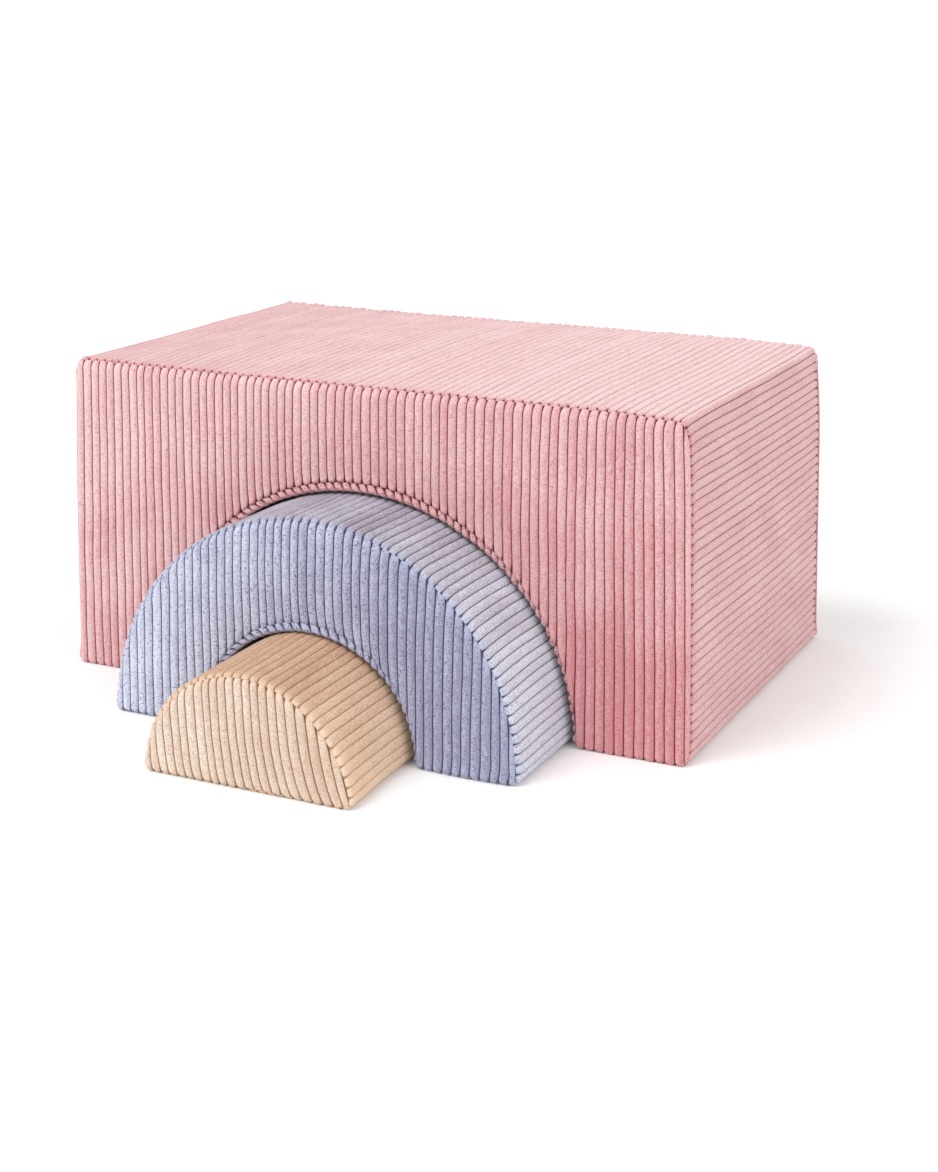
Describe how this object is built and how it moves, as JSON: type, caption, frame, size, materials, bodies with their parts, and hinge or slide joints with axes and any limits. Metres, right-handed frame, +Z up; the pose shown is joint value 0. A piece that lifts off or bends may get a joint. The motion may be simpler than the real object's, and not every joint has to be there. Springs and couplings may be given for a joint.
{
  "type": "nesting soft-play block set",
  "caption": "Soft-play set in wide-wale corduroy over foam: a rectangular block with a half-round tunnel, a half-ring arch and a half-round that nest in each other.",
  "frame": {"origin": "on the floor, at the middle of the whole set's footprint as it stands with the arch and the half-round pulled partly out", "axes": "+X to the right across the block's 750 mm width, +Y from the front (the side the arch and the half-round come out of) to the back, +Z up"},
  "size_m": [0.75, 0.744, 0.37],
  "materials": {
    "block_corduroy": "matte",
    "arch_corduroy": "matte",
    "half_round_corduroy": "matte",
    "foam": "matte",
    "block_zip_tape": "matte",
    "arch_zip_tape": "matte",
    "half_round_zip_tape": "matte",
    "zip_coil": "satin",
    "zip_metal": "satin"
  },
  "bodies": {
    "block": {"block_foam_core": "foam", "block_front_panel": "block_corduroy", "block_back_panel": "block_corduroy", "block_outer_band": "block_corduroy", "block_tunnel_band": "block_corduroy", "block_left_foot_panel": "block_corduroy", "block_right_foot_panel": "block_corduroy", "block_zip_left_tape": "block_zip_tape", "block_zip_left_coil": "zip_coil", "block_zip_right_tape": "block_zip_tape", "block_zip_right_coil": "zip_coil", "block_zip_end_stops": "zip_metal"},
    "arch": {"arch_foam_core": "foam", "arch_front_panel": "arch_corduroy", "arch_back_panel": "arch_corduroy", "arch_outer_band": "arch_corduroy", "arch_inner_band": "arch_corduroy", "arch_left_foot_panel": "arch_corduroy", "arch_right_foot_panel": "arch_corduroy", "arch_zip_left_tape": "arch_zip_tape", "arch_zip_left_coil": "zip_coil", "arch_zip_right_tape": "arch_zip_tape", "arch_zip_right_coil": "zip_coil", "arch_zip_end_stops": "zip_metal"},
    "half_round": {"half_round_foam_core": "foam", "half_round_front_panel": "half_round_corduroy", "half_round_back_panel": "half_round_corduroy", "half_round_curved_band": "half_round_corduroy", "half_round_base_panel": "half_round_corduroy", "half_round_zip_left_tape": "half_round_zip_tape", "half_round_zip_left_coil": "zip_coil", "half_round_zip_right_tape": "half_round_zip_tape", "half_round_zip_right_coil": "zip_coil", "half_round_zip_end_stops": "zip_metal"},
    "block_slider": {"block_zip_slider": "zip_metal"},
    "block_tab": {"block_zip_pull_tab": "zip_metal"},
    "arch_slider": {"arch_zip_slider": "zip_metal"},
    "arch_tab": {"arch_zip_pull_tab": "zip_metal"},
    "half_round_slider": {"half_round_zip_slider": "zip_metal"},
    "half_round_tab": {"half_round_zip_pull_tab": "zip_metal"}
  },
  "joints": [
    {"name": "arch_slide", "type": "slide", "parent": "block", "child": "arch", "axis": [0, -1, 0], "range_m": [-0.117, 0.383]},
    {"name": "half_round_slide", "type": "slide", "parent": "block", "child": "half_round", "axis": [0, -1, 0], "range_m": [-0.254, 0.363]},
    {"name": "block_zip_run", "type": "slide", "parent": "block", "child": "block_slider", "axis": [-1, 0, 0], "range_m": [0, 0.65]},
    {"name": "block_tab_swing", "type": "hinge", "parent": "block_slider", "child": "block_tab", "pos_m": [0.337, 0.3698, 0.344], "axis": [0, 0, -1], "range_deg": [0, 150]},
    {"name": "arch_zip_run", "type": "slide", "parent": "arch", "child": "arch_slider", "axis": [0, -1, 0], "range_m": [0, 0.39]},
    {"name": "arch_tab_swing", "type": "hinge", "parent": "arch_slider", "child": "arch_tab", "pos_m": [0.189, 0.217, 0.0022], "axis": [1, 0, 0], "range_deg": [0, 150]},
    {"name": "half_round_zip_run", "type": "slide", "parent": "half_round", "child": "half_round_slider", "axis": [0, -1, 0], "range_m": [0, 0.39]},
    {"name": "half_round_tab_swing", "type": "hinge", "parent": "half_round_slider", "child": "half_round_tab", "pos_m": [0, 0.08, 0.0022], "axis": [1, 0, 0], "range_deg": [0, 150]}
  ]
}
